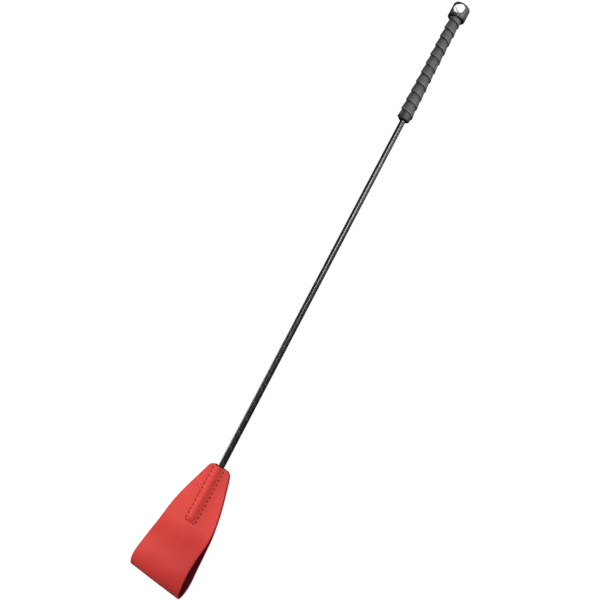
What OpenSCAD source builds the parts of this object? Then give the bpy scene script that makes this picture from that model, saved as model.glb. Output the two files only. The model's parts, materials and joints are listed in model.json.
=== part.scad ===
// Riding crop: capped and wrapped handle, braided flexible shaft, folded leather flap.
// X runs along the shaft from the butt end to the fold of the flap, +Z is up.
// The origin is the centre of the butt end's flat face. Millimetres.

/* [Head cap] */
// Outside diameter of the head cap
head_d = 19.8; // [18.6:0.1:22]
// Length of the head cap along the shaft
head_len = 17; // [16:0.2:22]
// Rounding of the head cap's butt end
head_round = 3.4; // [2:0.1:3.6]
// Diameter of the domed stud in the side of the cap
stud_d = 12.6; // [11:0.1:12.8]
// Height of the stud's crown above the shaft axis
stud_crown = 9.4; // [9:0.1:9.5]

/* [Handle] */
// Outside diameter of a wrap turn's lip at the butt end
lip_d_butt = 14.2; // [14:0.1:14.6]
// Outside diameter of a wrap turn's lip at the shaft end
lip_d_shaft = 16.3; // [15.8:0.1:16.8]
// Height of the step from one turn's lip down to the next turn
lip_step = 1; // [0.6:0.1:1.2]
// Length of one turn of the wrap along the handle
wrap_pitch = 11.56; // [10:0.02:13]
// Where the handle ends and the bare shaft begins
grip_end = 146; // [144:0.5:160]
// Length of the end collar
collar_len = 9; // [7:0.5:11]

/* [Shaft] */
// Outside diameter of the braided shaft at the flap
shaft_d = 6.8; // [6.4:0.1:7.2]
// How much thinner the braided shaft is at the grip
shaft_taper = 0.6; // [0:0.05:0.8]
// Diameter of the flexible rod inside the braid
rod_d = 4; // [3.6:0.1:4.4]
// Gap between neighbouring shaft pieces at a flex point
flex_gap = 0.6; // [0.5:0.05:0.8]
// Where the shaft's first flex point is
flex_first = 200; // [190:1:210]
// Distance between flex points
flex_step = 107; // [100:1:110]

/* [Flap] */
// Where the flap's upper edge is
flap_start = 566; // [560:1:568]
// Where the layers stop being sewn together and the loop begins
loop_start = 633; // [632:0.5:636]
// Where the flap's fold is
flap_end = 700; // [696:0.5:704]
// Thickness of one layer of leather
leather_t = 1.8; // [1.4:0.1:2]
// Half width of the flap at the fold
flap_half_w = 32; // [31.8:0.1:34]
// Diameter of the raised channel that the shaft sits in
channel_d = 10.2; // [9.4:0.1:10.6]
// Distance from the shaft axis to a side row of stitches
stitch_y = 6.4; // [6:0.1:7]
// Distance between stitches
stitch_pitch = 4.8; // [4.4:0.1:5.4]

/* [Hidden] */
$fn = 96;
stud_x = 7.4;
stud_seat = 5.6;
spigot_r = 4.4;
skirt = 2;
rim_step = 0.6;
core_x0 = head_len - skirt + 0.05;
core_x1 = grip_end - 3.4;
core_r0 = (lip_d_butt - 2 * lip_step) / 2 - 0.7;
core_r1 = (lip_d_shaft - 2 * lip_step) / 2 - 0.7;
wrap_x0 = head_len - skirt + 0.1;
wrap_x1 = grip_end - collar_len - 0.15;
rod_x0 = 60;
braid_x0 = 118;
tip_x = loop_start - 6.5;
braid_end = tip_x - 12;
flex = [for (k = [0:3]) flex_first + k * flex_step];
half_t = leather_t + 0.05;
hinge_slope = 0.72;

// Lays a revolve or cylinder, drawn along Z, along the shaft's X axis.
module along(x = 0) translate([x, 0, 0]) rotate([0, 90, 0]) children();

// Radius of the handle core at station x.
function core_r(x) = core_r0 + (core_r1 - core_r0) * (x - core_x0) / (core_x1 - core_x0);
// Radius of a wrap turn's lip at station x.
function lip_r(x) = (lip_d_butt + (lip_d_shaft - lip_d_butt) * (x - core_x0) / (core_x1 - core_x0)) / 2;

module head_cap() color([0.17, 0.17, 0.18]) difference() {
    along() rotate_extrude() {
        difference() {
            square([head_d / 2, head_len]);
            translate([head_d / 2 - head_round, -1]) square([head_round + 1, head_round + 1]);
            translate([head_d / 2 - rim_step, head_len - rim_step]) square([2, 2]);
        }
        intersection() {
            translate([head_d / 2 - head_round, head_round]) circle(r = head_round, $fn = 48);
            square([head_d / 2, head_round]);
        }
    }
    // socket for the handle core's spigot
    along(4) cylinder(r = spigot_r + 0.02, h = head_len);
    // skirt that covers the end of the wrap
    along(head_len - skirt) cylinder(d = lip_d_butt + 0.4, h = 10);
    // flat seat and post hole for the stud
    translate([stud_x, 0, stud_seat]) cylinder(d = stud_d + 0.1, h = 10);
    translate([stud_x, 0, 0]) cylinder(r = 2.02, h = 10);
}

module head_stud() color([0.93, 0.93, 0.94]) translate([stud_x, 0, 0]) {
    // domed head with a short straight edge
    intersection() {
        translate([0, 0, stud_seat + 0.02]) cylinder(d = stud_d, h = 10);
        translate([0, 0, stud_crown - 9]) sphere(r = 9, $fn = 96);
    }
    // post that pins the cap to the core
    translate([0, 0, 1]) cylinder(r = 2, h = stud_seat - 0.5);
}

module handle_core() color([0.62, 0.5, 0.34]) difference() {
    union() {
        along(core_x0) cylinder(r1 = core_r0, r2 = core_r1, h = core_x1 - core_x0);
        along(4.1) cylinder(r = spigot_r, h = core_x0 - 4);
    }
    along(rod_x0 - 0.1) cylinder(r = rod_d / 2 + 0.02, h = 200);
    along(braid_x0 - 0.1) cylinder(r = shaft_d / 2 + 0.02, h = 200);
    // pocket that takes the stud's post
    translate([stud_x, 0, 0.8]) cylinder(r = 2.02, h = 10);
    // turned-down seat for the collar
    difference() {
        along(grip_end - collar_len - 0.05) cylinder(r = 20, h = 50);
        along(grip_end - collar_len - 1) cylinder(r = core_r1 - 1.2, h = 60);
    }
}

// Helical strip whose every turn rises towards the shaft and steps down onto the next.
// It winds left-handed and is trimmed square at both ends.
wrap_seg = 24;
wrap_turns = (wrap_x1 - wrap_x0) / wrap_pitch;
wrap_a = [for (k = [1:floor((wrap_turns + 1) * wrap_seg) - 1]) k];
function wrap_lo(k) = wrap_x0 - wrap_pitch + k * wrap_pitch / wrap_seg;
function ring(k) = let (
        xs = wrap_lo(k), xa = max(wrap_x0, xs), xb = min(wrap_x1, xs + wrap_pitch - 0.12),
        a = -k * 360 / wrap_seg, fa = (xa - xs) / wrap_pitch, fb = (xb - xs) / wrap_pitch,
        ra = lip_r(xa) - lip_step * (1 - fa), rb = lip_r(xb) - lip_step * (1 - fb),
        ia = core_r(xa) + 0.09, ib = core_r(xb) + 0.09)
    [for (p = [[xa, ia], [xb, ib], [xb, rb], [xa, ra]]) [p[0], p[1] * cos(a), p[1] * sin(a)]];
module grip_wrap() color([0.24, 0.24, 0.25]) {
    rings = [for (k = wrap_a) if (min(wrap_x1, wrap_lo(k) + wrap_pitch - 0.12) - max(wrap_x0, wrap_lo(k)) > 0.25) ring(k)];
    m = len(rings);
    polyhedron(
        points = [for (r = rings) each r],
        faces = concat(
            [[0, 1, 2, 3]],
            [for (i = [0:m - 2]) for (j = [0:3]) let (a = 4 * i + j, b = 4 * i + (j + 1) % 4)
                each [[a, a + 4, b], [b, a + 4, b + 4]]],
            [[4 * m - 1, 4 * m - 2, 4 * m - 3, 4 * m - 4]]));
}

// Rounded end sleeve with a funnel-shaped mouth round the shaft.
module grip_collar() color([0.2, 0.2, 0.21]) {
    r = lip_d_shaft / 2;
    ri = core_r1 - 1.18;
    rs = shaft_d / 2 + 0.25;
    L = collar_len;
    along(grip_end - L) rotate_extrude() polygon([[ri, 0], [r - 0.2, 0], [r - 0.2, L - 6], [r - 0.8, L - 3.2],
        [r - 1.9, L - 0.9], [r - 3, L], [4.7, L], [rs, L - 2.6], [rs, L - 3.3], [ri, L - 3.3]]);
}

// Station where shaft piece k (1 to 5) starts and ends.
function piece_x0(k, first) = k == 1 ? first : flex[k - 2] + flex_gap / 2;
function piece_x1(k, last) = k == 5 ? last : flex[k - 1] - flex_gap / 2;
module rod(k) color([0.85, 0.85, 0.8])
    along(piece_x0(k, rod_x0)) cylinder(r = rod_d / 2, h = piece_x1(k, tip_x - 1.2) - piece_x0(k, rod_x0));
// Radius of the braid at station x.
function braid_r(x) = (shaft_d - shaft_taper * (braid_end - x) / (braid_end - braid_x0)) / 2;
module braid(k) color([0.06, 0.06, 0.07])
    along(piece_x0(k, braid_x0)) difference() {
        cylinder(r1 = braid_r(piece_x0(k, braid_x0)), r2 = braid_r(piece_x1(k, braid_end)), h = piece_x1(k, braid_end) - piece_x0(k, braid_x0));
        translate([0, 0, -1]) cylinder(r = rod_d / 2 + 0.03, h = 200);
    }

module rod_tip_cap() color([0.7, 0.7, 0.72]) along(braid_end + 0.2) difference() {
    cylinder(r = shaft_d / 2, h = tip_x - braid_end - 0.2);
    translate([0, 0, -1]) cylinder(r = rod_d / 2 + 0.03, h = tip_x - 1 - braid_end - 0.2 + 1);
}

// Half width of the flap at fraction f of its length.
flap_w = [[0, 9.4], [0.015, 11.9], [0.045, 14], [0.104, 16.4], [0.254, 22.4], [0.328, 25.3], [0.403, 27.7],
          [0.478, 29.1], [0.55, 29.6], [0.63, 29.7], [0.776, 30.5], [0.925, 31.8], [1, flap_half_w]];
function flap_outline() = let (L = flap_end - flap_start, n = len(flap_w))
    concat([for (p = flap_w) [flap_start + p[0] * L, -p[1]]],
           [for (i = [n - 1:-1:0]) [flap_start + flap_w[i][0] * L, flap_w[i][1]]]);
module outline(h) translate([0, 0, -h]) linear_extrude(2 * h) polygon(flap_outline());
// Draws an x-z side profile across the whole width of the flap.
module across(pts) translate([0, 50, 0]) rotate([90, 0, 0]) linear_extrude(100) polygon(pts);

module flap_pocket() color([0.78, 0.24, 0.22]) difference() {
    union() {
        intersection() {
            outline(20);
            across([[flap_start, -half_t], [loop_start - hinge_slope * half_t, -half_t], [loop_start - 0.05, 0],
                    [loop_start - hinge_slope * half_t, half_t], [flap_start, half_t]]);
        }
        // raised channel round the shaft, closed with a sloped end
        along(flap_start) rotate_extrude() polygon([[0, 0], [channel_d / 2, 0],
            [channel_d / 2, tip_x + 1 - flap_start], [channel_d / 2 - 1, tip_x + 3 - flap_start], [0, tip_x + 3.8 - flap_start]]);
    }
    along(flap_start - 1) cylinder(r = shaft_d / 2 + 0.1, h = tip_x + 0.3 - flap_start + 1);
}

// Places of the stitches: two rows beside the channel and one row across its end.
stitch_n = floor((loop_start - 5.5 - flap_start - 4) / stitch_pitch);
module stitch(x, y, turn) translate([x, y, 0]) rotate([0, 0, turn]) {
    for (s = [-1, 1]) translate([-1.75, -0.4, s > 0 ? half_t - 0.1 : -half_t - 0.4]) cube([3.5, 0.8, 0.5]);
    for (e = [-1.65, 1.25]) translate([e, -0.2, -half_t - 0.2]) cube([0.4, 0.4, 2 * half_t + 0.4]);
}
module flap_stitching() color([0.5, 0.07, 0.09]) {
    for (i = [0:stitch_n], s = [-1, 1]) stitch(flap_start + 4.5 + i * stitch_pitch, s * stitch_y, 0);
    for (j = [-1:1]) stitch(loop_start - 3.1, j * stitch_pitch * 0.95, 90);
}

// Side profile of the loop: both layers leave the stitched end together, the upper one
// bows away and folds round into the lower one.
loop_upper = [[0, 0.9], [6, 4.2], [12, 8.8], [18, 13.4], [26, 18], [36, 21.6], [44, 22.9], [51, 22.5], [57, 20.4], [62, 17], [65.2, 13.4]];
loop_lower = [[66.1, 10.8], [65.2, 8], [62, 5.2], [56, 3.5], [46, 2.3], [36, 1.7], [26, 1], [14, 0.2], [6, -0.6], [0, -0.9]];
function unit(v) = v / norm(v);
function side(pts, o) = [for (i = [0:len(pts) - 1])
    let (d = unit(pts[min(i + 1, len(pts) - 1)] - pts[max(i - 1, 0)])) pts[i] + o * [-d[1], d[0]]];
module flap_loop() color([0.72, 0.2, 0.19]) {
    scale_x = (flap_end - loop_start - 0.9) / 66.1;
    mid = [for (p = concat(loop_upper, loop_lower)) [loop_start + p[0] * scale_x, p[1]]];
    h = leather_t / 2;
    // outer skin of the loop, started as a wedge at the bend line
    outer = concat([[loop_start + 0.05, 0], [loop_start + hinge_slope * half_t, half_t]],
                   [for (i = [1:len(mid) - 2]) side(mid, h)[i]],
                   [[loop_start + hinge_slope * half_t, -half_t]]);
    inner = [for (i = [1:len(mid) - 2]) side(mid, -h)[i]];
    intersection() {
        outline(60);
        difference() {
            across(outer);
            across(inner);
        }
    }
}

head_cap();
head_stud();
handle_core();
grip_wrap();
grip_collar();
rod(1);  // rod_1
rod(2);  // rod_2
rod(3);  // rod_3
rod(4);  // rod_4
rod(5);  // rod_5
braid(1);  // braid_1
braid(2);  // braid_2
braid(3);  // braid_3
braid(4);  // braid_4
braid(5);  // braid_5
rod_tip_cap();
flap_pocket();
flap_stitching();
flap_loop();
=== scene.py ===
import json
import math

import bmesh
import bpy
import numpy as np
from mathutils import Matrix, Vector

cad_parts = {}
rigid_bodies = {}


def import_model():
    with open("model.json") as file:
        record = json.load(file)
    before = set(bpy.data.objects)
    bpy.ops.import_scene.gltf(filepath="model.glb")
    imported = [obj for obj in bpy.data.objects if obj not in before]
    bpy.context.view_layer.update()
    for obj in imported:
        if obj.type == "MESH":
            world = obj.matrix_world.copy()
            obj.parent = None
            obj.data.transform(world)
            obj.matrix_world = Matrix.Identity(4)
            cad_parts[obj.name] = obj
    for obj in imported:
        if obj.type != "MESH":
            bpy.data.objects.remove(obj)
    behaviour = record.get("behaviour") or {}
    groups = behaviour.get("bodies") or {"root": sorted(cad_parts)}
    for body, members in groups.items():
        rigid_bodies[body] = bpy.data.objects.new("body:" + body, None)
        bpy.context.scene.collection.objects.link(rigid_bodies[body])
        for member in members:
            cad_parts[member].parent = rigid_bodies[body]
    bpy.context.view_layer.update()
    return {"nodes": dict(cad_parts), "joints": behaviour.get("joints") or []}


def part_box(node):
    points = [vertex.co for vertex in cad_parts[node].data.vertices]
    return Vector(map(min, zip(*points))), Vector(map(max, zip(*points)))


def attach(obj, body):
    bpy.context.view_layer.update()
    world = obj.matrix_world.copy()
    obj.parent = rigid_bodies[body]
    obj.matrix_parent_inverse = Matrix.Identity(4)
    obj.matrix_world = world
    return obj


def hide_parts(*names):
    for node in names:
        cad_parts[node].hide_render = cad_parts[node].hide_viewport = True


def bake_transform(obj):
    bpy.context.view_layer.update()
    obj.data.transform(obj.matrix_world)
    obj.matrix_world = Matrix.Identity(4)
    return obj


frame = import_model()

MM = 0.001


def box_mm(node):
    lo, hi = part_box(node)
    return np.array(lo) / MM, np.array(hi) / MM


HEAD_LO, HEAD_HI = box_mm("head_cap")
CORE_LO, CORE_HI = box_mm("handle_core")
WRAP_LO, WRAP_HI = box_mm("grip_wrap")
COL_LO, COL_HI = box_mm("grip_collar")
STUD_LO, STUD_HI = box_mm("head_stud")
POCK_LO, POCK_HI = box_mm("flap_pocket")
LOOP_LO, LOOP_HI = box_mm("flap_loop")
TIP_LO, TIP_HI = box_mm("rod_tip_cap")
JOINTS = {j["name"]: j for j in frame["joints"]}
FLEX = [JOINTS[n]["pos_m"][0] / MM for n in ("shaft_flex", "shaft_flex_2", "shaft_flex_3", "shaft_flex_4")]
BEND_X = JOINTS["flap_bend"]["pos_m"][0] / MM
SHAFT_R = (box_mm("braid_2")[1][1] - box_mm("braid_2")[0][1]) / 2


# ---------------------------------------------------------------- mesh tools
def smoothstep(a, b, x):
    t = np.clip((np.asarray(x, float) - a) / (b - a), 0, 1)
    return t * t * (3 - 2 * t)


def new_mesh(name, verts, faces, material=None, attrs=None, smooth=True):
    """A mesh object from points in mm."""
    me = bpy.data.meshes.new(name)
    me.from_pydata((np.asarray(verts, float) * MM).tolist(), [], [list(map(int, f)) for f in faces])
    me.validate()
    me.update()
    for key, values in (attrs or {}).items():
        a = me.attributes.new(key, "FLOAT", "POINT")
        a.data.foreach_set("value", np.asarray(values, np.float32))
    if smooth:
        me.polygons.foreach_set("use_smooth", np.ones(len(me.polygons), bool))
    ob = bpy.data.objects.new(name, me)
    bpy.context.scene.collection.objects.link(ob)
    if material is not None:
        me.materials.append(material)
    return ob


def fix_normals(ob):
    bm = bmesh.new()
    bm.from_mesh(ob.data)
    bmesh.ops.recalc_face_normals(bm, faces=bm.faces)
    bm.to_mesh(ob.data)
    bm.free()
    ob.data.update()


def revolve(name, profile, seg, material, attr=None):
    """Turns a closed or axis-to-axis (x, r) profile about the shaft axis."""
    verts, faces, vals = [], [], []
    n = len(profile)
    rows = []
    for i, (x, r) in enumerate(profile):
        v = attr[i] if attr else 0.0
        if r < 1e-6:
            rows.append([len(verts)])
            verts.append((x, 0, 0))
            vals.append(v)
        else:
            rows.append(list(range(len(verts), len(verts) + seg)))
            for k in range(seg):
                a = 2 * math.pi * k / seg
                verts.append((x, r * math.cos(a), r * math.sin(a)))
                vals.append(v)
    closed = profile[0][1] > 1e-6 and profile[-1][1] > 1e-6
    pairs = [(i, i + 1) for i in range(n - 1)] + ([(n - 1, 0)] if closed else [])
    for i, j in pairs:
        a, b = rows[i], rows[j]
        for k in range(seg):
            l = (k + 1) % seg
            if len(a) == 1 and len(b) == 1:
                continue
            if len(a) == 1:
                faces.append((a[0], b[l], b[k]))
            elif len(b) == 1:
                faces.append((a[k], a[l], b[0]))
            else:
                faces.append((a[k], a[l], b[l], b[k]))
    ob = new_mesh(name, verts, faces, material, {"painted_shade_and_reflection": vals})
    fix_normals(ob)
    return ob


def arc(cx, cr, rad, a0, a1, n):
    """Points of an arc in the (x, r) plane, degrees measured from +x towards +r."""
    return [(cx + rad * math.cos(math.radians(a)), cr + rad * math.sin(math.radians(a))) for a in np.linspace(a0, a1, n)]


def spline(points, step):
    """Centripetal Catmull-Rom through the points, resampled about every step."""
    p = np.array(points, float)
    p = np.vstack([2 * p[0] - p[1], p, 2 * p[-1] - p[-2]])
    out = []
    for i in range(1, len(p) - 2):
        p0, p1, p2, p3 = p[i - 1], p[i], p[i + 1], p[i + 2]
        t0 = 0.0
        t1 = t0 + max(np.linalg.norm(p1 - p0), 1e-9) ** 0.5
        t2 = t1 + max(np.linalg.norm(p2 - p1), 1e-9) ** 0.5
        t3 = t2 + max(np.linalg.norm(p3 - p2), 1e-9) ** 0.5
        for t in np.linspace(t1, t2, 24, endpoint=False):
            a1 = (t1 - t) / (t1 - t0) * p0 + (t - t0) / (t1 - t0) * p1
            a2 = (t2 - t) / (t2 - t1) * p1 + (t - t1) / (t2 - t1) * p2
            a3 = (t3 - t) / (t3 - t2) * p2 + (t - t2) / (t3 - t2) * p3
            b1 = (t2 - t) / (t2 - t0) * a1 + (t - t0) / (t2 - t0) * a2
            b2 = (t3 - t) / (t3 - t1) * a2 + (t - t1) / (t3 - t1) * a3
            out.append((t2 - t) / (t2 - t1) * b1 + (t - t1) / (t2 - t1) * b2)
    out.append(p[-2])
    out = np.array(out)
    s = np.concatenate([[0], np.cumsum(np.linalg.norm(np.diff(out, axis=0), axis=1))])
    n = max(2, int(round(s[-1] / step)) + 1)
    q = np.linspace(0, s[-1], n)
    return np.stack([np.interp(q, s, out[:, k]) for k in range(out.shape[1])], 1)


# ---------------------------------------------------------------- materials
class Mat:
    """Small helper for node materials."""

    def __init__(self, name):
        self.m = bpy.data.materials.new(name)
        self.m.use_nodes = True
        self.t = self.m.node_tree
        self.t.nodes.clear()
        self.out = self.n("ShaderNodeOutputMaterial")
        self.bsdf = self.n("ShaderNodeBsdfPrincipled")
        self.link(self.bsdf.outputs["BSDF"], self.out.inputs["Surface"])
        self.co = self.n("ShaderNodeTexCoord").outputs["Object"]

    def n(self, kind, **kw):
        node = self.t.nodes.new(kind)
        for k, v in kw.items():
            setattr(node, k, v)
        return node

    def link(self, a, b):
        self.t.links.new(a, b)

    def set(self, key, value):
        s = self.bsdf.inputs[key]
        if hasattr(value, "is_linked") or isinstance(value, bpy.types.NodeSocket):
            self.link(value, s)
        else:
            s.default_value = value

    def mapping(self, scale=(1, 1, 1), rot=(0, 0, 0)):
        node = self.n("ShaderNodeMapping")
        node.inputs["Scale"].default_value = scale
        node.inputs["Rotation"].default_value = rot
        self.link(self.co, node.inputs["Vector"])
        return node.outputs["Vector"]

    def noise(self, scale, detail=3.0, rough=0.55, vec=None):
        node = self.n("ShaderNodeTexNoise")
        node.inputs["Scale"].default_value = scale
        node.inputs["Detail"].default_value = detail
        node.inputs["Roughness"].default_value = rough
        self.link(vec or self.co, node.inputs["Vector"])
        return node.outputs["Fac"]

    def voronoi(self, scale, feature="F1", out="Distance", vec=None, randomness=1.0):
        node = self.n("ShaderNodeTexVoronoi", feature=feature)
        node.inputs["Scale"].default_value = scale
        node.inputs["Randomness"].default_value = randomness
        self.link(vec or self.co, node.inputs["Vector"])
        return node.outputs[out]

    def attr(self, name):
        return self.n("ShaderNodeAttribute", attribute_name=name).outputs["Fac"]

    def ramp(self, fac, stops):
        node = self.n("ShaderNodeValToRGB")
        el = node.color_ramp.elements
        while len(el) < len(stops):
            el.new(0.5)
        for e, (pos, col) in zip(el, stops):
            e.position = pos
            e.color = (*col, 1.0) if len(col) == 3 else col
        self.link(fac, node.inputs["Fac"])
        return node.outputs["Color"]

    def range(self, fac, a0, a1, b0, b1):
        node = self.n("ShaderNodeMapRange")
        for k, v in zip(("From Min", "From Max", "To Min", "To Max"), (a0, a1, b0, b1)):
            node.inputs[k].default_value = v
        self.link(fac, node.inputs["Value"])
        return node.outputs["Result"]

    def math(self, op, a, b=None):
        node = self.n("ShaderNodeMath", operation=op)
        for i, v in enumerate((a, b)):
            if v is None:
                continue
            if isinstance(v, (int, float)):
                node.inputs[i].default_value = v
            else:
                self.link(v, node.inputs[i])
        return node.outputs[0]

    def mix(self, fac, a, b, blend="MIX"):
        node = self.n("ShaderNodeMix", data_type="RGBA", blend_type=blend)
        for key, v in (("Factor", fac), ("A", a), ("B", b)):
            sock = [s for s in node.inputs if s.name == key and s.type == ("VALUE" if key == "Factor" else "RGBA")][0]
            if isinstance(v, (int, float)):
                sock.default_value = v
            elif isinstance(v, tuple):
                sock.default_value = (*v, 1.0) if len(v) == 3 else v
            else:
                self.link(v, sock)
        return [o for o in node.outputs if o.type == "RGBA"][0]

    def bump(self, height, strength=0.3, distance=0.0002, normal=None):
        node = self.n("ShaderNodeBump")
        node.inputs["Strength"].default_value = strength
        node.inputs["Distance"].default_value = distance
        self.link(height, node.inputs["Height"])
        if normal is not None:
            self.link(normal, node.inputs["Normal"])
        return node.outputs["Normal"]


def leather_red():
    m = Mat("flap_leather_red")
    broad = m.noise(34, 2.0, 0.5)
    fine = m.noise(900, 3.0, 0.6)
    cells = m.voronoi(1500, "DISTANCE_TO_EDGE")
    base = m.ramp(broad, [(0.25, (0.510, 0.040, 0.032)), (0.75, (0.600, 0.053, 0.042))])
    base = m.mix(m.range(fine, 0.35, 0.65, 0.0, 0.18), base, (0.38, 0.016, 0.016))
    base = m.mix(m.range(cells, 0.0, 0.12, 0.22, 0.0), base, (0.33, 0.013, 0.014))
    # painted shade at the stitch holes and painted shade towards the fold; the inner face, the flesh side, is coloured
    # a darker maroon, the cut edges are painted
    base = m.mix(m.attr("painted_shade_and_reflection"), base, (0.20, 0.008, 0.012))
    base = m.mix(m.attr("fold"), base, (0.31, 0.013, 0.013))
    base = m.mix(m.attr("inner"), base, (0.13, 0.008, 0.011))
    base = m.mix(m.attr("edge"), base, (0.38, 0.016, 0.030))
    m.set("Base Color", base)
    m.set("Roughness", m.math("ADD", m.range(fine, 0.3, 0.7, 0.52, 0.66), m.math("MULTIPLY", m.attr("inner"), 0.3)))
    m.set("Specular IOR Level", 0.15)
    m.set("Sheen Weight", 0.02)
    m.set("Sheen Roughness", 0.5)
    grain = m.bump(m.range(cells, 0.0, 0.2, 0.0, 1.0), 0.20, 0.00006)
    grain = m.bump(fine, 0.18, 0.00008, grain)
    grain = m.bump(m.noise(160, 3.0), 0.16, 0.0003, grain)
    m.set("Normal", grain)
    return m.m


def thread_red():
    m = Mat("stitch_thread")
    v = m.mapping((1, 1, 1), (0, 0, 0.7))
    w = m.n("ShaderNodeTexWave", wave_type="BANDS", bands_direction="X")
    w.inputs["Scale"].default_value = 900
    w.inputs["Distortion"].default_value = 1.5
    m.link(v, w.inputs["Vector"])
    m.set("Base Color", m.ramp(w.outputs["Fac"], [(0.0, (0.095, 0.003, 0.006)), (1.0, (0.20, 0.006, 0.011))]))
    m.set("Roughness", 0.75)
    m.set("Specular IOR Level", 0.2)
    m.set("Normal", m.bump(w.outputs["Fac"], 0.5, 0.0001))
    return m.m


def leather_grip():
    m = Mat("grip_leather_black")
    broad = m.noise(90, 3.0, 0.6)
    fine = m.noise(1100, 4.0, 0.65)
    cells = m.voronoi(1300, "DISTANCE_TO_EDGE")
    base = m.ramp(broad, [(0.3, (0.040, 0.039, 0.041)), (0.7, (0.058, 0.057, 0.059))])
    base = m.mix(m.range(cells, 0.0, 0.1, 0.35, 0.0), base, (0.03, 0.03, 0.031))
    base = m.mix(m.math("MULTIPLY", m.attr("wear"), 0.35), base, (0.12, 0.12, 0.122))
    # painted shadow under each lip of the wrap, from the per-vertex mask
    base = m.mix(m.attr("painted_shade_and_reflection"), base, (0.008, 0.008, 0.009))
    m.set("Base Color", base)
    m.set("Roughness", m.range(fine, 0.3, 0.7, 0.46, 0.62))
    m.set("Specular IOR Level", 0.45)
    m.set("Sheen Weight", 0.10)
    m.set("Sheen Roughness", 0.6)
    nrm = m.bump(m.range(cells, 0, 0.2, 0, 1), 0.28, 0.00008)
    nrm = m.bump(fine, 0.25, 0.00010, nrm)
    nrm = m.bump(m.noise(260, 2.0), 0.25, 0.0003, nrm)
    m.set("Normal", nrm)
    return m.m


def plastic_cap():
    m = Mat("cap_plastic_black")
    fine = m.noise(1500, 4.0, 0.6)
    broad = m.noise(120, 2.0)
    base = m.ramp(broad, [(0.3, (0.050, 0.050, 0.053)), (0.7, (0.064, 0.064, 0.067))])
    # painted shade in the skirt, in the stud's seat and along the lower rim
    base = m.mix(m.attr("painted_shade_and_reflection"), base, (0.012, 0.012, 0.013))
    m.set("Base Color", base)
    m.set("Roughness", m.range(fine, 0.3, 0.7, 0.38, 0.52))
    m.set("Specular IOR Level", 0.5)
    m.set("Normal", m.bump(m.noise(260, 2.0), 0.12, 0.0002, m.bump(fine, 0.22, 0.00006)))
    return m.m


def rubber_collar():
    m = Mat("collar_rubber_black")
    fine = m.noise(1200, 4.0, 0.6)
    base = m.ramp(m.noise(100, 2.0), [(0.3, (0.022, 0.022, 0.023)), (0.7, (0.032, 0.032, 0.033))])
    # painted shade inside the collar's mouth
    base = m.mix(m.attr("painted_shade_and_reflection"), base, (0.006, 0.006, 0.006))
    m.set("Base Color", base)
    m.set("Roughness", m.range(fine, 0.3, 0.7, 0.5, 0.66))
    m.set("Normal", m.bump(m.noise(240, 2.0), 0.2, 0.0003, m.bump(fine, 0.25, 0.00008)))
    return m.m


def chrome():
    m = Mat("stud_polished_chrome")
    fine = m.noise(700, 3.0)
    base = m.ramp(m.noise(200, 2.0), [(0.2, (0.90, 0.90, 0.91)), (0.8, (0.97, 0.97, 0.98))])
    # painted reflection and painted shade on the chrome, from the crescent mask
    m.set("Base Color", m.mix(m.attr("painted_shade_and_reflection"), base, (0.04, 0.04, 0.042)))
    m.set("Metallic", 1.0)
    m.set("Roughness", m.range(fine, 0.3, 0.7, 0.05, 0.12))
    m.set("Normal", m.bump(fine, 0.04, 0.00005))
    return m.m


def braid_black():
    m = Mat("braid_lacquered_thread")
    fine = m.noise(1600, 3.0)
    base = m.ramp(m.noise(300, 2.0), [(0.3, (0.004, 0.004, 0.005)), (0.7, (0.009, 0.009, 0.010))])
    base = m.mix(m.math("MULTIPLY", m.attr("tracer"), 0.6), base, (0.05, 0.05, 0.054))
    m.set("Base Color", base)
    m.set("Roughness", m.range(fine, 0.3, 0.7, 0.27, 0.38))
    m.set("Specular IOR Level", 0.5)
    m.set("Coat Weight", 0.6)
    m.set("Coat Roughness", 0.12)
    m.set("Normal", m.bump(fine, 0.2, 0.00006))
    return m.m


def fibreglass():
    m = Mat("rod_fibreglass")
    v = m.mapping((1, 30, 30))
    n = m.noise(60, 3.0, vec=v)
    m.set("Base Color", m.ramp(n, [(0.3, (0.70, 0.70, 0.62)), (0.7, (0.84, 0.84, 0.78))]))
    m.set("Roughness", 0.35)
    m.set("Normal", m.bump(n, 0.15, 0.0001))
    return m.m


def wood():
    m = Mat("core_wood")
    v = m.mapping((1, 12, 12))
    n = m.noise(40, 4.0, vec=v)
    m.set("Base Color", m.ramp(n, [(0.3, (0.42, 0.27, 0.13)), (0.7, (0.62, 0.45, 0.26))]))
    m.set("Roughness", 0.6)
    m.set("Normal", m.bump(n, 0.2, 0.0002))
    return m.m


def metal_tip():
    m = Mat("tip_metal")
    n = m.noise(500, 3.0)
    m.set("Base Color", m.ramp(n, [(0.3, (0.60, 0.60, 0.62)), (0.7, (0.74, 0.74, 0.76))]))
    m.set("Metallic", 1.0)
    m.set("Roughness", m.range(n, 0.3, 0.7, 0.25, 0.4))
    return m.m


M_LEATHER, M_THREAD, M_GRIP, M_CAP = leather_red(), thread_red(), leather_grip(), plastic_cap()
M_COLLAR, M_CHROME, M_BRAID, M_ROD = rubber_collar(), chrome(), braid_black(), fibreglass()
M_WOOD, M_TIP = wood(), metal_tip()


def handle_y(x):
    """The handle sits a little to one side of the shaft's line, most of all at the middle of the grip."""
    return np.interp(x, [0, 40, 90, 137], [-0.45, -0.60, -0.48, -0.12])


# ---------------------------------------------------------------- head cap
SEAT = (-0.25, 0.0)     # the stud's centre in the visual, past the CAD stud's


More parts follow.
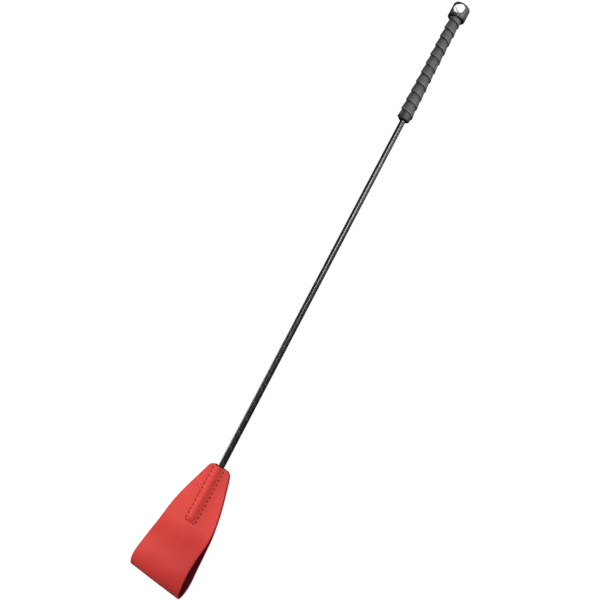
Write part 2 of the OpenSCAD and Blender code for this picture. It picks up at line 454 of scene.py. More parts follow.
def head_cap():
    x0, x1, R = HEAD_LO[0], HEAD_HI[0], HEAD_HI[1]
    skirt_r, skirt_x = 7.3, x1 - 2.0
    seat_z = 5.62
    prof = [(x0, 0.0), (x0, R - 3.6)]
    prof += arc(x0 + 3.4, R - 3.4, 3.4, 176, 92, 16)
    prof += [(x0 + 3.8, R), (x1 - 2.5, R), (x1 - 0.75, R)] + arc(x1 - 0.6, R - 0.6, 0.6, 85, 5, 6)
    prof += [(x1, R - 0.9), (x1, skirt_r + 0.25), (x1 - 0.25, skirt_r), (skirt_x, skirt_r), (skirt_x, 0.0)]
    ob = revolve("head_cap_shell", prof, 192, M_CAP)
    # seat for the stud, sunk into the side of the cap
    cx, cy = (STUD_LO[0] + STUD_HI[0]) / 2 + SEAT[0], SEAT[1]
    # the butt end is cut slightly askew, and the cap follows the handle's line
    for v in ob.data.vertices:
        x, y = v.co.x / MM, v.co.y / MM
        v.co.x += (-0.40 + 0.9 * y / R) * float(1 - smoothstep(x0 + 3, x0 + 10, x)) * MM
        v.co.y += float(handle_y(x)) * MM
    bm = bmesh.new()
    bmesh.ops.create_cone(bm, cap_ends=True, segments=128, radius1=(6.45) * MM, radius2=(6.45) * MM, depth=10 * MM,
                          matrix=Matrix.Translation(Vector((cx, cy, seat_z + 5)) * MM))
    me = bpy.data.meshes.new("seat_cutter")
    bm.to_mesh(me)
    bm.free()
    cutter = bpy.data.objects.new("seat_cutter", me)
    bpy.context.scene.collection.objects.link(cutter)
    mod = ob.modifiers.new("seat", "BOOLEAN")
    mod.operation, mod.solver, mod.object = "DIFFERENCE", "EXACT", cutter
    rm = ob.modifiers.new("remesh", "REMESH")
    rm.mode, rm.voxel_size, rm.use_smooth_shade = "VOXEL", 0.16 * MM, True
    sm = ob.modifiers.new("soften", "SMOOTH")
    sm.factor, sm.iterations = 0.5, 4
    bpy.context.view_layer.update()
    done = bpy.data.meshes.new_from_object(ob.evaluated_get(bpy.context.evaluated_depsgraph_get()))
    ob.modifiers.clear()
    ob.data = done
    bpy.data.objects.remove(cutter)
    ob.data.materials.clear()
    ob.data.materials.append(M_CAP)
    co = np.array([v.co for v in ob.data.vertices]) / MM
    rad = np.hypot(co[:, 1] - handle_y(co[:, 0]), co[:, 2])
    # painted shade: the inside of the skirt, the stud's seat and a band round the lower rim are coloured darker, where
    # shade falls
    inside = ((co[:, 0] > x1 - 1.9) & (rad < 7.6)).astype(float)
    d = np.hypot(co[:, 0] - cx, co[:, 1] - cy)
    seat = ((co[:, 2] > seat_z - 0.2) & (d < 6.6) & (rad < R - 0.15)).astype(float)
    a = ob.data.attributes.new("painted_shade_and_reflection", "FLOAT", "POINT")
    rim_shade = 0.80 * smoothstep(x1 - 2.9, x1 - 1.3, co[:, 0])
    a.data.foreach_set("value", np.maximum(np.maximum(inside, 0.85 * seat), rim_shade).astype(np.float32))
    ob.data.polygons.foreach_set("use_smooth", np.ones(len(ob.data.polygons), bool))
    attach(ob, "handle")
    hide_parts("head_cap")


def head_stud():
    cx, cy = (STUD_LO[0] + STUD_HI[0]) / 2 + SEAT[0], SEAT[1]
    r = (STUD_HI[0] - STUD_LO[0]) / 2
    z0, top, crown = 5.66, 7.55, 0.45
    prof = [(0.0, z0), (r - 0.1, z0), (r, z0 + 0.1), (r, top - 0.26), (r - 0.03, top - 0.14), (r - 0.10, top - 0.05), (r - 0.2, top)]
    prof += [(q, top + 0.01 + crown * (1 - (q / (r - 0.2)) ** 2)) for q in np.linspace(r - 0.3, 0, 46)]
    seg = 176
    verts, faces, rows, vals = [], [], [], []
    for i, (q, z) in enumerate(prof):
        n = 1 if q < 1e-4 else seg
        rows.append(list(range(len(verts), len(verts) + n)))
        for j in range(n):
            px, py = q * math.cos(2 * math.pi * j / seg), q * math.sin(2 * math.pi * j / seg)
            # painted reflection: the crescent darkens the chrome's colour along a line of reflected dark surroundings,
            # and the weaker darkening past it is painted shade; the dome also dips slightly there
            cut = 0.0
            if i > 6:
                across, along = 0.728 * px - 0.686 * py, 0.686 * px + 0.728 * py
                wide = 0.36 + 0.05 * (along + 6)
                off = across - 2.85 + along ** 2 / 94
                cut = math.exp(-(off / wide) ** 2) * (0.50 + 0.035 * (along + 6))
                cut = max(cut, 0.20 * float(smoothstep(-0.1, 0.4, off)))
            verts.append((cx + px, cy + py, z - 0.05 * cut))
            vals.append(cut)
    for a, b in zip(rows, rows[1:]):
        for k in range(seg):
            l = (k + 1) % seg
            if len(a) == 1:
                faces.append((a[0], b[l], b[k]))
            elif len(b) == 1:
                faces.append((a[k], a[l], b[0]))
            else:
                faces.append((a[k], a[l], b[l], b[k]))
    ob = new_mesh("head_stud_dome", verts, faces, M_CHROME, {"painted_shade_and_reflection": vals})
    fix_normals(ob)
    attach(ob, "handle")
    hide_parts("head_stud")


# ---------------------------------------------------------------- grip
STEP = 1.1
PITCH = 11.56


def lip_r(x):
    return np.interp(x, [14, 30, 52, 76, 98, 120, 137], [7.16, 7.16, 7.18, 7.22, 7.50, 7.98, 8.10])


def grip_wrap():
    prof = np.array([(-0.2, -0.75), (0.0, -0.10), (1.2, 0.0), (2.4, 0.12), (4.0, 0.30), (5.6, 0.47), (7.2, 0.63), (8.8, 0.78), (10.0, 0.89), (10.8, 0.96),
                     (11.3, 1.0), (11.7, 0.985), (12.0, 0.90), (12.2, 0.72), (12.27, 0.48), (12.2, 0.25), (12.0, 0.1), (11.6, 0.02), (10.6, -0.1), (10.2, -0.75)])
    # painted shadow: these values darken the lip's step face and the seam under each lip, where the lip casts its
    # shadow
    painted_shade_and_reflection = np.array([1, 1, 1, .6, .1, 0, 0, 0, 0, 0, 0, 0, .05, .3, .7, .9, 1, 1, 1, 1.0])
    wear = np.array([0, 0, 0, 0, .05, .1, .15, .3, .5, .8, 1, 1, .7, .3, 0, 0, 0, 0, 0, 0.0])
    xa, xb = WRAP_LO[0], WRAP_HI[0]
    seg = 80
    n0, n1 = -2.2, (xb - xa) / PITCH - 0.11
    ks = np.arange(int(n0 * seg), int(n1 * seg) + 1)
    verts, cr, we = [], [], []
    m = len(prof)
    for k in ks:
        turn = k / seg
        ang = math.radians(WRAP_ANGLE) - 2 * math.pi * turn
        xs = xa + turn * PITCH
        # hand-wound unevenness: slow drift in lip height and edge line
        dh = 0.10 * math.sin(2.1 * turn + 0.6) + 0.07 * math.sin(5.3 * turn + 2.0) + 0.05 * math.sin(11.7 * turn + 1.1)
        dx = 0.16 * math.sin(1.7 * turn + 1.0) + 0.10 * math.sin(4.1 * turn + 0.3) + 0.05 * math.sin(13.1 * turn)
        for (px, ph), c, w in zip(prof, painted_shade_and_reflection, wear):
            lipness = float(smoothstep(6, 11.5, px))
            x = xs + px + dx * lipness
            r = lip_r(x) - STEP + STEP * ph + dh * lipness * (1 if ph > 0 else 0)
            verts.append((x, r * math.cos(ang) + float(handle_y(x)), r * math.sin(ang)))
            cr.append(c)
            we.append(w)
    faces = []
    rows = len(ks)
    for i in range(rows - 1):
        for j in range(m):
            a, b = i * m + j, i * m + (j + 1) % m
            faces.append((a, b, b + m, a + m))
    faces.append(tuple(range(m)))
    faces.append(tuple(reversed(range((rows - 1) * m, rows * m))))
    ob = new_mesh("grip_wrap_strip", verts, faces, M_GRIP, {"painted_shade_and_reflection": cr, "wear": we})
    fix_normals(ob)
    # trimmed square where it runs into the cap and the collar
    bm = bmesh.new()
    bm.from_mesh(ob.data)
    for px, no in ((xa, (-1, 0, 0)), (xb + 6.6, (1, 0, 0))):
        geom = bm.verts[:] + bm.edges[:] + bm.faces[:]
        cut = bmesh.ops.bisect_plane(bm, geom=geom, plane_co=Vector((px * MM, 0, 0)), plane_no=Vector(no), clear_outer=True, dist=1e-7)
        edges = [e for e in cut["geom_cut"] if isinstance(e, bmesh.types.BMEdge) and e.is_valid and e.is_boundary]
        bmesh.ops.holes_fill(bm, edges=edges)
    bmesh.ops.recalc_face_normals(bm, faces=bm.faces)
    bm.to_mesh(ob.data)
    bm.free()
    ob.data.polygons.foreach_set("use_smooth", np.ones(len(ob.data.polygons), bool))
    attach(ob, "handle")
    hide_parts("grip_wrap")


WRAP_ANGLE = 261.0


def handle_core():
    """The turned core under the wrap, bored for the rod and the braid."""
    xs = np.linspace(15.4, 136.6, 26)
    prof = [(4.2, 0.0), (4.2, 4.1), (4.5, 4.3), (15.2, 4.3)] + [(float(x), float(lip_r(x)) - STEP - 0.85) for x in xs]
    prof += [(136.9, 5.3), (CORE_HI[0] - 0.2, 5.3), (CORE_HI[0] - 0.2, 3.75), (118.0, 3.75), (118.0, 2.1), (60.0, 2.1), (60.0, 0.0)]
    ob = revolve("handle_core_wood", prof, 96, M_WOOD)
    for v in ob.data.vertices:
        v.co.y += float(handle_y(v.co.x / MM)) * MM
    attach(ob, "handle")
    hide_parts("handle_core")


def grip_collar():
    x0, x1, R = COL_LO[0], COL_HI[0], COL_HI[1]
    hole = SHAFT_R + 0.40
    outer = [(x0 - 2.5, R - 2.4), (x0 - 2.5, R - 1.42), (x0 + 0.5, R - 1.38), (x0 + 2.0, R - 1.34), (x0 + 4.0, R - 1.34), (x0 + 6.0, R - 1.42), (x0 + 7.2, R - 1.54),
             (x1 - 1.0, R - 1.70), (x1 - 0.5, R - 1.92), (x1 - 0.2, R - 2.26), (x1 - 0.05, R - 2.46), (x1, R - 2.62)]
    lip = [(x1 - 0.05, 5.18), (x1 - 0.22, 5.04), (x1 - 0.6, 4.86), (x1 - 1.2, 4.52), (x1 - 2.2, 3.95), (x1 - 3.0, hole + 0.1), (x1 - 4.0, hole), (x1 - 6.0, hole), (x1 - 6.0, R - 2.4)]
    prof = outer + lip
    # painted shade: the funnel inside the collar's mouth is coloured darker
    mouth_shade = [0.0] * len(outer) + [0.1, 0.4, 0.8] + [1.0] * 6
    ob = revolve("grip_collar_end", prof, 144, M_COLLAR, mouth_shade)
    for v in ob.data.vertices:
        v.co.y += 0.25 * MM
    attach(ob, "handle")
    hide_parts("grip_collar")


# ---------------------------------------------------------------- shaft
LEAD0, LEAD1, LX0, LX1 = 13.6, 17.8, 190.0, 566.0


def lead_turns(x):
    """Turns a strand has made by station x: the braid opens out towards the flap."""
    k = (LEAD1 - LEAD0) / (LX1 - LX0)
    x = np.asarray(x, float)
    lead = np.clip(LEAD0 + k * (x - LX0), 9.0, 40)
    return np.log(lead / LEAD0) / k


NB = 8


def sleeve_r(x):
    """Outside radius of the braid, a touch fuller towards the flap."""
    return TIP_HI[1] + np.interp(x, [118, 165, 215, 420, 614], [-0.30, -0.25, -0.12, 0.0, 0.05])


def strand(x, i, sign):
    """Angle and radius of strand i going one way round."""
    t = lead_turns(x)
    ang = 2 * math.pi * (i / NB + sign * t)
    q = 2 * i + sign * 2 * NB * t
    wave = np.clip(1.35 * np.cos(2 * math.pi * (q - 0.5) / 4), -1, 1) * sign
    return ang, wave


def braid_part(name, xa, xb):
    verts, faces, tracer = [], [], []
    # flat ribbon section: place across the strand, height
    ring = [(-1.0, -0.55), (-0.98, 0.25), (-0.80, 0.78), (-0.45, 0.96), (0.0, 1.0), (0.45, 0.96), (0.80, 0.78), (0.98, 0.25), (1.0, -0.55), (0.0, -0.8)]
    m = len(ring)
    step = 0.62
    n = int(round((xb - xa) / step))
    xs = np.linspace(xa, xb, n + 1)
    rs = sleeve_r(xs)
    for sign in (1, -1):
        for i in range(NB):
            ang, wave = strand(xs, i, sign)
            lead_here = LEAD0 + (LEAD1 - LEAD0) / (LX1 - LX0) * (xs - LX0)
            is_tr = sign == -1 and i == 0
            half_h = 0.13
            rmid = rs - 0.21 + 0.07 * wave
            half_w = 0.98
            if is_tr:
                rmid, half_w = rs - 0.15, 0.86
            beta = np.arctan2(2 * math.pi * rs * sign, lead_here)
            base = len(verts)
            cols = []
            for c, h in ring:
                r = rmid + half_h * h
                a = ang + half_w * c * np.cos(beta) / r
                cols.append(np.stack([xs - half_w * c * np.sin(beta), r * np.cos(a), r * np.sin(a)], 1))
            verts.extend(np.stack(cols, 1).reshape(-1, 3))
            tracer.extend([1.0 if is_tr else 0.0] * (m * (n + 1)))
            for k in range(n):
                for j in range(m):
                    a, b = base + k * m + j, base + k * m + (j + 1) % m
                    faces.append((a, b, b + m, a + m))
            faces.append(tuple(base + j for j in range(m)))
            faces.append(tuple(base + n * m + j for j in reversed(range(m))))
    # inner layer that closes the gaps between strands
    base, seg = len(verts), 24
    m = max(2, int((xb - xa) / 2.5))
    for x in np.linspace(xa, xb, m + 1):
        r = float(sleeve_r(x)) - 0.48
        for k in range(seg):
            a = 2 * math.pi * k / seg
            verts.append((x, r * math.cos(a), r * math.sin(a)))
            tracer.append(0.0)
    for i in range(m):
        for k in range(seg):
            a, b = base + i * seg + k, base + i * seg + (k + 1) % seg
            faces.append((a, b, b + seg, a + seg))
    faces.append(tuple(base + k for k in range(seg)))
    faces.append(tuple(base + m * seg + k for k in reversed(range(seg))))
    ob = new_mesh(name, verts, faces, M_BRAID, {"tracer": tracer})
    fix_normals(ob)
    return ob


def rod_part(name, xa, xb, r):
    seg, m = 24, max(2, int((xb - xa) / 2.5))
    verts, faces = [], []
    for x in np.linspace(xa, xb, m + 1):
        verts += [(x, r * math.cos(2 * math.pi * k / seg), r * math.sin(2 * math.pi * k / seg)) for k in range(seg)]
    for i in range(m):
        for k in range(seg):
            a, b = i * seg + k, i * seg + (k + 1) % seg
            faces.append((a, b, b + seg, a + seg))
    faces.append(tuple(range(seg)))
    faces.append(tuple(m * seg + k for k in reversed(range(seg))))
    ob = new_mesh(name, verts, faces, M_ROD)
    fix_normals(ob)
    return ob


def shaft():
    half = (FLEX[1] - FLEX[0]) / 2
    ends = [box_mm("braid_1")[0][0] + 12] + [f + half for f in FLEX[:-1]] + [box_mm("braid_5")[1][0]]
    rods = [box_mm("rod_1")[0][0]] + ends[1:-1] + [box_mm("rod_5")[1][0]]
    for k in range(4):
        b = braid_part(f"shaft_braid_{k + 1}", ends[k], ends[k + 1])
        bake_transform(b)
        r = rod_part(f"shaft_rod_{k + 1}", rods[k], rods[k + 1], 2.0)
        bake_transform(r)
        if k == 3:
            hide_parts("braid_4", "braid_5")
            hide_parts("rod_4", "rod_5")
        else:
            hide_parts(f"braid_{k + 1}")
            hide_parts(f"rod_{k + 1}")


# ---------------------------------------------------------------- flap
HALF_T = 0.93
FX0 = POCK_LO[0]
OUT_X = np.array([566, 566.12, 566.45, 567.0, 567.8, 568.8, 570.2, 572, 576, 580, 590, 600, 610, 620, 630, 640, 650, 660, 670, 680, 688, 694, 700.2])
OUT_L = -np.array([7.2, 8.2, 9.2, 10.1, 11.0, 11.8, 12.6, 13.3, 14.6, 16.1, 19.8, 23.3, 26.7, 29.4, 31.0, 31.3, 30.6, 30.2, 30.6, 31.8, 32.7, 33.3, 33.8])
OUT_R = np.array([7.4, 8.4, 9.5, 10.5, 11.4, 12.2, 13.0, 13.8, 15.1, 16.2, 19.0, 21.6, 23.9, 25.7, 27.0, 27.9, 28.5, 29.2, 29.8, 30.3, 30.4, 30.0, 29.4])
# side line of the loop's mid surface, from the stitched end round the fold, as x past the bend line and z
UPPER = [(3, 3.9), (7, 5.8), (12, 8.7), (18, 12.7), (26, 17.4), (36, 21.4), (44, 22.8), (51, 22.4), (57, 20.4), (62, 17.0), (65.2, 13.2)]
LOWER = [(66.1, 10.4), (65.2, 7.6), (62, 5.0), (56, 3.4), (46, 2.2), (36, 1.6), (26, 0.9), (14, 0.0), (6, -0.75)]
LIFT_X, LIFT = 610.0, 1.9   # where the front layer starts to lift, and how much by the bend line
CH_TOP = 3.6
CH_HALF = 6.0
FOLD_SKEW = (3.9, 0.7)
STITCH_PITCH = 4.8


def stitch_spots():
    """Centres of the stitches: (x, y, turned across)."""
    x1 = BEND_X - 3.1
    spots = []
    n = int((x1 - 2.6 - (FX0 + 2.0)) / STITCH_PITCH)
    for side, (ya, yb) in enumerate(((-6.9, -8.1), (5.9, 4.9))):
        for i in range(n + 1):
            x = x1 - 2.6 - i * STITCH_PITCH
            spots.append((x, ya + (yb - ya) * (x - FX0) / (x1 - FX0), 0))
    yl, yr = -8.1, 4.9
    m = 3
    for j in range(m):
        spots.append((x1, yl + (yr - yl) * (j + 0.5) / m, 1))
    return spots


def lift_z(x):
    """Height of the front layer's middle between the stitched part and the loop."""
    return HALF_T + LIFT * np.clip((np.asarray(x, float) - LIFT_X) / (BEND_X - LIFT_X), 0, None) ** 2.6


def flap():
    # stations along the strip, from the back layer's upper edge round the fold to the front's
    pocket_x = np.concatenate([OUT_X[:7], np.arange(571.2, BEND_X - 0.5, 0.62)])
    back = np.stack([pocket_x, np.full_like(pocket_x, -HALF_T)], 1)
    loop = [(BEND_X - 6, -HALF_T), (BEND_X - 3, -HALF_T), (BEND_X - 0.4, -HALF_T)] + [(BEND_X + p, z) for p, z in LOWER[::-1]]
    loop += [(BEND_X + p, z) for p, z in UPPER[::-1]] + [(BEND_X - q, lift_z(BEND_X - q)) for q in (0.4, 3, 6)]
    line = spline(loop, 0.85)
    keep = (line[:, 0] > BEND_X - 0.3) | (np.arange(len(line)) < 0)
    line = line[keep]
    front = back[::-1].copy()
    front[:, 1] = lift_z(front[:, 0])
    path = np.vstack([back, line, front])
    nb, nl = len(back), len(line)
    is_front = np.arange(len(path)) >= nb + int(np.argmax(line[:, 0]))
    # places across the strip: even and close near the channel, stretched to the outline outside it
    core = np.arange(-9.6, 9.61, 0.4)
    outer = np.array([0.0, 0.05, 0.12, 0.2, 0.3, 0.4, 0.5, 0.6, 0.7, 0.79, 0.87, 0.93, 0.97, 1.0])
    ny = len(core) + 2 * (len(outer) - 1)
    P = np.zeros((len(path), ny, 3))
    for i, (x, z) in enumerate(path):
        yl, yr = np.interp(x, OUT_X, OUT_L), np.interp(x, OUT_X, OUT_R)
        lo, hi = max(-9.6, yl + 0.9), min(9.6, yr - 0.9)
        c = np.interp(core, [-9.6, 9.6], [lo, hi]) if (lo > -9.6 or hi < 9.6) else core
        y = np.concatenate([(c[0] + (yl - c[0]) * outer[1:])[::-1], c, c[-1] + (yr - c[-1]) * outer[1:]])
        P[i, :, 0] = x
        P[i, :, 1] = y
        P[i, :, 2] = z
    sgn = np.where(is_front, 1.0, -1.0)[:, None]
    X, Y = P[:, :, 0], P[:, :, 1]
    in_pocket = (np.arange(len(path)) < nb) | (np.arange(len(path)) >= nb + nl)
    # channel over the shaft, closing down past the shaft's tip
    ych = np.interp(X, [566, 630], [-0.9, -1.8])
    power = np.where(Y > ych, 1.15, 1.6)
    g = 0.5 + 0.5 * np.cos(np.pi * np.clip(np.abs(Y - ych) / CH_HALF, 0, 1) ** power)
    fade = 1 - smoothstep(TIP_HI[0] - 1.5, BEND_X - 2.2, X)
    P[:, :, 2] += sgn * CH_TOP * g * fade * in_pocket[:, None]
    # the leather is drawn down along the stitch rows and at each hole
    spots = stitch_spots()
    # painted shade: this mask darkens the leather at each stitch hole
    dip = np.zeros_like(X)
    painted_shade_and_reflection = np.zeros_like(X)
    near = (X < BEND_X + 3)
    for sx, sy, across in spots:
        dx, dy = (1.0, 0.0) if not across else (0.0, 1.0)
        for e in (-1, 1):
            hx, hy = sx + dx * e * STITCH_PITCH / 2, sy + dy * e * 2.15
            d2 = (X - hx) ** 2 + (Y - hy) ** 2
            dip += 0.10 * np.exp(-d2 / 0.45) * near
            painted_shade_and_reflection = np.maximum(painted_shade_and_reflection, 0.5 * np.exp(-d2 / 0.2) * near)
        along = (X - sx) * dx + (Y - sy) * dy
        off = (X - sx) * dy + (Y - sy) * dx
        dip += 0.06 * np.exp(-off ** 2 / 0.9) * (np.abs(along) < (STITCH_PITCH / 2 if not across else 2.15)) * near
    P[:, :, 2] -= sgn * dip
    # slow unevenness of a hand-cut, used piece of leather
    und = 0.16 * np.sin(X * 0.11 + 0.7) * np.sin(Y * 0.13 + 1.1) + 0.10 * np.sin(X * 0.23 + Y * 0.17)
    loose = smoothstep(4, 14, X - BEND_X + 8)
    P[:, :, 2] += und * (0.25 + loose)
    # the free front of the loop bellies a little across its width and lifts at the right edge
    wide = (Y - 0.5 * (np.interp(X, OUT_X, OUT_L) + np.interp(X, OUT_X, OUT_R))) / 30.0
    P[:, :, 2] += sgn * 0.5 * (1 - wide ** 2) * smoothstep(0, 30, X - BEND_X) * 0.8

    # the fold runs slightly askew, nearer the butt on its -Y side
    run = np.clip((X - BEND_X) / 67.0, 0, 1) ** 1.5
    P[:, :, 0] -= run * np.interp(Y, [-33, 30], FOLD_SKEW)
    # painted shade: the leather is coloured darker towards the fold, more on its +Y side, where the loop turns away
    # from the light
    fold = 0.60 * smoothstep(BEND_X - 22, BEND_X + 70, X) * (np.arange(len(path)) >= nb)[:, None] * (0.95 + 0.42 * Y / 30)

    # normals of the mid surface, outwards from the loop
    ds = np.gradient(P, axis=0)
    dy = np.gradient(P, axis=1)
    N = np.cross(ds, dy)
    N /= np.linalg.norm(N, axis=2, keepdims=True) + 1e-12
    k = nb + nl + len(front) // 2
    if N[k, ny // 2, 2] < 0:
        N = -N
    B = dy / (np.linalg.norm(dy, axis=2, keepdims=True) + 1e-12)
    t = HALF_T - 0.03
    outer_s, inner_s = P + N * t, P - N * t
    verts, edge, inner, cre, fol = [], [], [], [], []
    arcs = np.linspace(0, math.pi, 8)[1:-1]
    for i in range(len(path)):
        for j in range(ny):
            verts.append(outer_s[i, j])
            e = 0.0
            dl = min(abs(P[i, j, 1] - P[i, 0, 1]), abs(P[i, -1, 1] - P[i, j, 1]))
            e = float(max(0.0, 0.55 - dl / 0.9))
            edge.append(e)
            inner.append(0.0)
            cre.append(float(painted_shade_and_reflection[i, j]))
            fol.append(float(fold[i, j]))
        for a in arcs:
            verts.append(P[i, -1] + N[i, -1] * t * math.cos(a) + B[i, -1] * t * 0.75 * math.sin(a))
            edge.append(1.0)
            inner.append(0.0)
            cre.append(0.0)
            fol.append(0.0)
        for j in reversed(range(ny)):
            verts.append(inner_s[i, j])
            edge.append(0.0)
            inner.append(1.0)
            cre.append(0.0)
            fol.append(0.0)
        for a in arcs:
            verts.append(P[i, 0] - N[i, 0] * t * math.cos(a) - B[i, 0] * t * 0.75 * math.sin(a))
            edge.append(1.0)
            inner.append(0.0)
            cre.append(0.0)
            fol.append(0.0)
    m = 2 * ny + 2 * len(arcs)
    faces = []
    for i in range(len(path) - 1):
        for j in range(m):
            a, b = i * m + j, i * m + (j + 1) % m
            faces.append((a, b, b + m, a + m))
    # square-cut upper edges, closed with a strip of quads
    na = len(arcs)
    for i, flip in ((0, False), (len(path) - 1, True)):
        o = i * m
        inv = ny + na
        for j in range(ny - 1):
            q = (o + j, o + j + 1, o + inv + (ny - 2 - j), o + inv + (ny - 1 - j))
            faces.append(q if not flip else q[::-1])
        right = [o + ny - 1] + [o + ny + q for q in range(na)] + [o + inv]
        left = [o + inv + ny - 1] + [o + inv + ny + q for q in range(na)] + [o]
        for f in (right, left):
            faces.append(tuple(f) if not flip else tuple(reversed(f)))
    ob = new_mesh("flap_leather", verts, faces, M_LEATHER, {"edge": edge, "inner": inner, "painted_shade_and_reflection": cre, "fold": fol})
    # the cut ends take the edge colour
    ev = np.array(edge)
    for i in (0, len(path) - 1):
        ev[i * m:(i + 1) * m] = np.maximum(ev[i * m:(i + 1) * m], 0.35)
    ob.data.attributes["edge"].data.foreach_set("value", ev.astype(np.float32))
    fix_normals(ob)
    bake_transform(ob)
    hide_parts("flap_pocket", "flap_loop")
    surface = {"X": P[:, :, 0], "Y": P[:, :, 1], "out": outer_s, "front": is_front}
    return surface


def stitching(surf):
    """One rounded thread stitch at each place, front and back, sunk at both ends."""
    X, Y, O, F = surf["X"], surf["Y"], surf["out"], surf["front"]
    verts, faces = [], []

    def height(x, y, front):
        rows = np.where(F == front)[0]
        sub = O[rows]
        d = (sub[:, :, 0] - x) ** 2 + (sub[:, :, 1] - y) ** 2
        i = np.unravel_index(np.argmin(d), d.shape)
        return sub[i][2]

    seg, cuts = 8, 11
    for sx, sy, across in stitch_spots():
        length = 2.6 if not across else 2.4
        for front in (True, False):
            s = 1 if front else -1
            z_mid = height(sx, sy, front)
            base = len(verts)
            for c in range(cuts):
                u = -1 + 2 * c / (cuts - 1)
                lift = 0.30 * (1 - u ** 2) ** 0.8 - 0.62 * abs(u) ** 5
                fat = 0.50 * (1 - abs(u) ** 6) ** 0.5 + 0.05
                px, py = (sx + u * length / 2, sy) if not across else (sx, sy + u * length / 2)
                for q in range(seg):
                    a = 2 * math.pi * q / seg
                    oy, oz = fat * math.cos(a) * 1.05, fat * math.sin(a) * 0.75
                    if not across:
                        verts.append((px, py + oy, z_mid + s * (lift * 0.8 + 0.02) + oz))
                    else:
                        verts.append((px + oy, py, z_mid + s * (lift * 0.8 + 0.02) + oz))
            for c in range(cuts - 1):
                for q in range(seg):
                    a, b = base + c * seg + q, base + c * seg + (q + 1) % seg
                    faces.append((a, b, b + seg, a + seg))
            faces.append(tuple(base + q for q in range(seg)))
            faces.append(tuple(base + (cuts - 1) * seg + q for q in reversed(range(seg))))
    ob = new_mesh("flap_stitch_thread", verts, faces, M_THREAD)
    fix_normals(ob)
    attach(ob, "shaft_tip")
    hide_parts("flap_stitching")


head_cap()
head_stud()
handle_core()
grip_wrap()
grip_collar()
shaft()
stitching(flap())
for node_name, mat in (("rod_tip_cap", M_TIP),):
    ob = frame["nodes"][node_name]
    ob.data.materials.clear()
    ob.data.materials.append(mat)

# ---------------------------------------------------------------- camera
# The view of the photograph: from above the flap's face, leaning 22 degrees to +Y, flap end nearer.
F_PX, TH, Z0, PHI, OFF, XM = 851.5, math.radians(5.0), 908.0, math.radians(22.0), 7.26, 371.8
d = np.array([-0.46412, 0.88577, 0.0])
nn = np.array([0.88577, 0.46412, 0.0])
E = np.array([0.0, 0.0, 1.0])
AX = math.cos(TH) * d - math.sin(TH) * E
AB = -math.sin(TH) * d - math.cos(TH) * E
AZ = math.cos(PHI) * AB - math.sin(PHI) * nn
AY = math.sin(PHI) * AB + math.cos(PHI) * nn
P0 = Z0 * E + OFF / F_PX * Z0 * nn
place = np.array([XM - P0 @ AX, -P0 @ AY, -P0 @ AZ]) * MM
rot = np.array([AX, AY, AZ])            # rows: object axes in camera coordinates
right, down, fwd = rot[:, 0], rot[:, 1], rot[:, 2]
roll = -0.00196
right, down = right + down * roll, down - right * roll
right, down = right / np.linalg.norm(right), down / np.linalg.norm(down)
cam_data = bpy.data.cameras.new("camera")
cam = bpy.data.objects.new("camera", cam_data)
bpy.context.scene.collection.objects.link(cam)
cam_data.sensor_width = 36.0
cam_data.lens = F_PX / 600.0 * 36.0
cam_data.clip_start, cam_data.clip_end = 0.01, 50.0
place = place - (right * 0.630 + down * 0.090) * MM
world = np.eye(4)
world[:3, 0], world[:3, 1], world[:3, 2], world[:3, 3] = right, -down, -fwd, place
cam.matrix_world = Matrix(world.tolist())
bpy.context.scene.camera = cam

# ---------------------------------------------------------------- floor and light
floor_mesh = bpy.data.meshes.new("floor")
g0, g1 = (HEAD_HI[0], HEAD_LO[2] - 0.05), (BEND_X - 5, -CH_TOP - 2 * HALF_T - 0.05)
slope = (g1[1] - g0[1]) / (g1[0] - g0[0])
fz = lambda x: g0[1] + slope * (x - g0[0])
S = 6000.0
floor_mesh.from_pydata([(x * MM, y * MM, fz(x) * MM) for x, y in ((-S, -S), (S, -S), (S, S), (-S, S))], [], [(0, 1, 2, 3)])
floor = bpy.data.objects.new("floor", floor_mesh)
bpy.context.scene.collection.objects.link(floor)
fm = Mat("floor_pale")
fm.set("Base Color", (0.30, 0.30, 0.30, 1))
fm.set("Roughness", 0.9)
fm.set("Specular IOR Level", 0.0)
fm.set("Emission Color", (1, 1, 1, 1))
fm.set("Emission Strength", 0.955)
# light bounced up by a studio floor is kept low so that the dark parts stay dark underneath
lp = fm.n("ShaderNodeLightPath")
dark = fm.n("ShaderNodeBsdfDiffuse")
dark.inputs["Color"].default_value = (0.25, 0.25, 0.25, 1)
mx = fm.n("ShaderNodeMixShader")
fm.link(lp.outputs["Is Camera Ray"], mx.inputs["Fac"])
fm.link(dark.outputs["BSDF"], mx.inputs[1])
fm.link(fm.bsdf.outputs["BSDF"], mx.inputs[2])
fm.link(mx.outputs["Shader"], fm.out.inputs["Surface"])
floor_mesh.materials.append(fm.m)

AMBIENT, GLOSS_BASE = 0.17, 0.05
wd = bpy.data.worlds.new("studio")
wd.use_nodes = True
wt = wd.node_tree
wt.nodes.clear()


def wn(kind, **kw):
    node = wt.nodes.new(kind)
    for k, v in kw.items():
        setattr(node, k, v)
    return node


def background(strength):
    node = wn("ShaderNodeBackground")
    node.inputs["Color"].default_value = (1, 1, 1, 1)
    if isinstance(strength, (int, float)):
        node.inputs["Strength"].default_value = strength
    else:
        wt.links.new(strength, node.inputs["Strength"])
    return node.outputs[0]


def mix_shader(fac, a, b):
    node = wn("ShaderNodeMixShader")
    for sock, v in zip(node.inputs, (fac, a, b)):
        wt.links.new(v, sock)
    return node.outputs[0]


wl = wn("ShaderNodeLightPath")
lit = mix_shader(wl.outputs["Is Glossy Ray"], background(AMBIENT), background(GLOSS_BASE))
shown = mix_shader(wl.outputs["Is Camera Ray"], lit, background(1.0))
wt.links.new(shown, wn("ShaderNodeOutputWorld").inputs["Surface"])
bpy.context.scene.world = wd


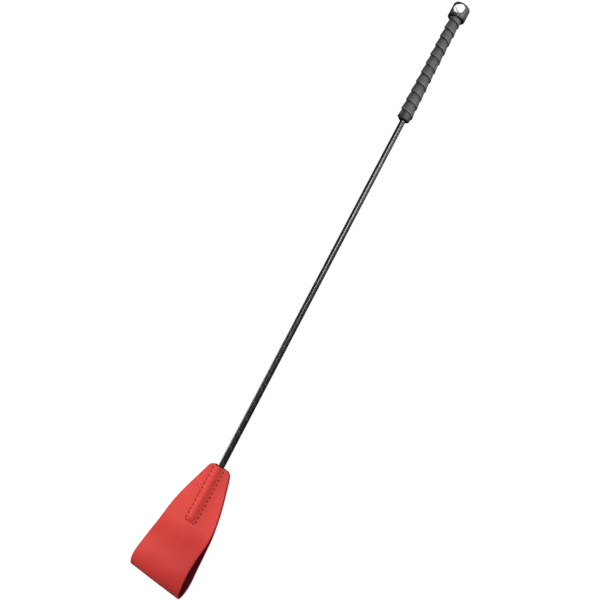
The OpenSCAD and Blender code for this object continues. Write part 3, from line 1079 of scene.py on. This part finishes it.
def area(name, loc, target, size, power, size_y=None, along=None):
    """A soft box at loc facing target, with its first side lying along the given direction."""
    L = bpy.data.lights.new(name, "AREA")
    L.energy = power
    L.size = size
    if size_y:
        L.shape, L.size_y = "RECTANGLE", size_y
    o = bpy.data.objects.new(name, L)
    bpy.context.scene.collection.objects.link(o)
    z = (Vector(loc) - Vector(target)).normalized()
    x = Vector(along) if along else Vector((0, 0, 1)).cross(z)
    x = (x - z * x.dot(z)).normalized()
    m = Matrix((x, z.cross(x), z)).transposed().to_4x4()
    m.translation = Vector(loc)
    o.matrix_world = m
    o.visible_camera = False
    return o


def only(light, names):
    """Keeps a studio light to the named pieces, as flags and snoots would."""
    group = bpy.data.collections.new(light.name + "_on")
    for n in names:
        group.objects.link(bpy.data.objects[n])
    light.light_linking.receiver_collection = group


FLAP_PIECES = ["flap_leather", "flap_stitch_thread"]
DARK_PIECES = ["head_cap_shell", "grip_wrap_strip", "grip_collar_end"] + [f"shaft_braid_{k}" for k in (1, 2, 3, 4)]
GRIP_PIECES = ["head_cap_shell", "grip_wrap_strip", "grip_collar_end"]
only(area("strip", (-0.068, 0.383, 1.106), (0.2, 0.0, 0.0), 0.66, 13.0, 0.18, (0.325, -0.53, 0.18)), DARK_PIECES)
only(area("fill_shaft", (-0.24, 1.30, 0.30), (0.12, 0.0, 0.0), 0.42, 4.0, 0.5, (1, 0, 0)), DARK_PIECES[3:])
only(area("fill_grip", (-0.22, 1.20, 0.45), (0.08, 0.0, 0.0), 0.55, 13.5, 0.5, (1, 0, 0)), GRIP_PIECES)
only(area("rim_left", (0.58, -0.90, 0.10), (0.52, 0.0, 0.0), 0.42, 2.2, 0.14, (1, 0, 0)), DARK_PIECES[3:])
only(area("stud_card", (-0.149, -0.117, 0.300), (0.007, 0.0, 0.007), 0.46, 0.74, 0.46), ["head_stud_dome"])
only(area("key_flap", (0.38, -0.38, 1.00), (0.61, 0.0, 0.0), 0.6, 11.0, 0.6), FLAP_PIECES)
only(area("accent_flap", (0.58, -0.90, 0.30), (0.59, 0.0, 0.0), 0.30, 4.9, 0.2), FLAP_PIECES)
only(area("fill_flap", (0.60, 0.90, 0.55), (0.62, 0.0, 0.0), 0.6, 4.0, 0.5), FLAP_PIECES)
only(area("front_flap", (1.9, 0.1, 0.45), (0.62, 0.0, 0.0), 1.0, 2.6, 1.0), FLAP_PIECES)
area("top", (0.35, -0.1, 1.9), (0.35, 0.0, 0.0), 1.2, 1.6, 1.2)

sc = bpy.context.scene
sc.view_settings.view_transform = "Standard"
sc.view_settings.look = "None"
sc.view_settings.exposure = 0.0
sc.view_settings.gamma = 1.0
